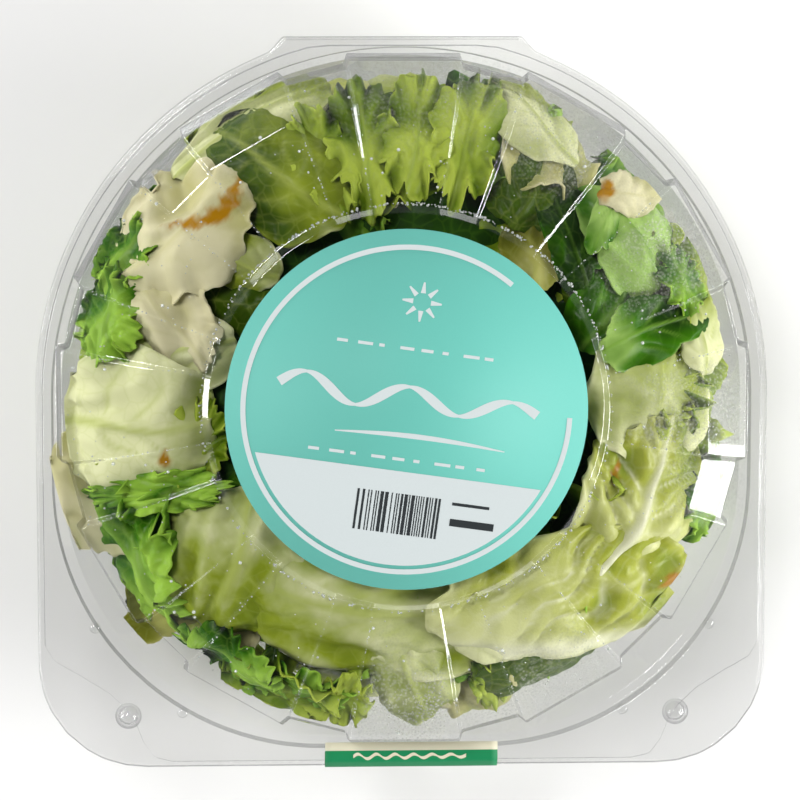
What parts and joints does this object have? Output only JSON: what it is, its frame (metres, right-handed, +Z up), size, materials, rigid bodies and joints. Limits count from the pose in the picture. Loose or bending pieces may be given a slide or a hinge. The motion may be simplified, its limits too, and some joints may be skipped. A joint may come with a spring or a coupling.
{
  "type": "clear hinged plastic pack of salad leaves",
  "caption": "Shut clear plastic tray with a faceted domed lid, filled with mixed salad leaves, with a round label on top and a paper seal over the front edge.",
  "frame": {"origin": "middle of the whole pack's footprint, on the surface that it stands on", "axes": "+Z up out of the lid, +Y towards the hinge edge, -Y towards the sealed front edge, +X to the right as seen from the front"},
  "size_m": [0.219, 0.2202, 0.0806],
  "materials": {
    "clear_tray": "clear thermoformed sheet, glossy",
    "clear_lid": "clear thermoformed sheet, glossy, with a little mist inside",
    "leaves": "mixed lettuce and kale, satin and moist",
    "label_paper": "printed sticker in turquoise and white, satin",
    "seal_paper": "printed paper tape in green with a cream edge, satin"
  },
  "bodies": {
    "root": {"tray": "clear_tray", "lid": "clear_lid", "salad": "leaves", "round_label": "label_paper", "front_seal": "seal_paper"}
  },
  "joints": []
}
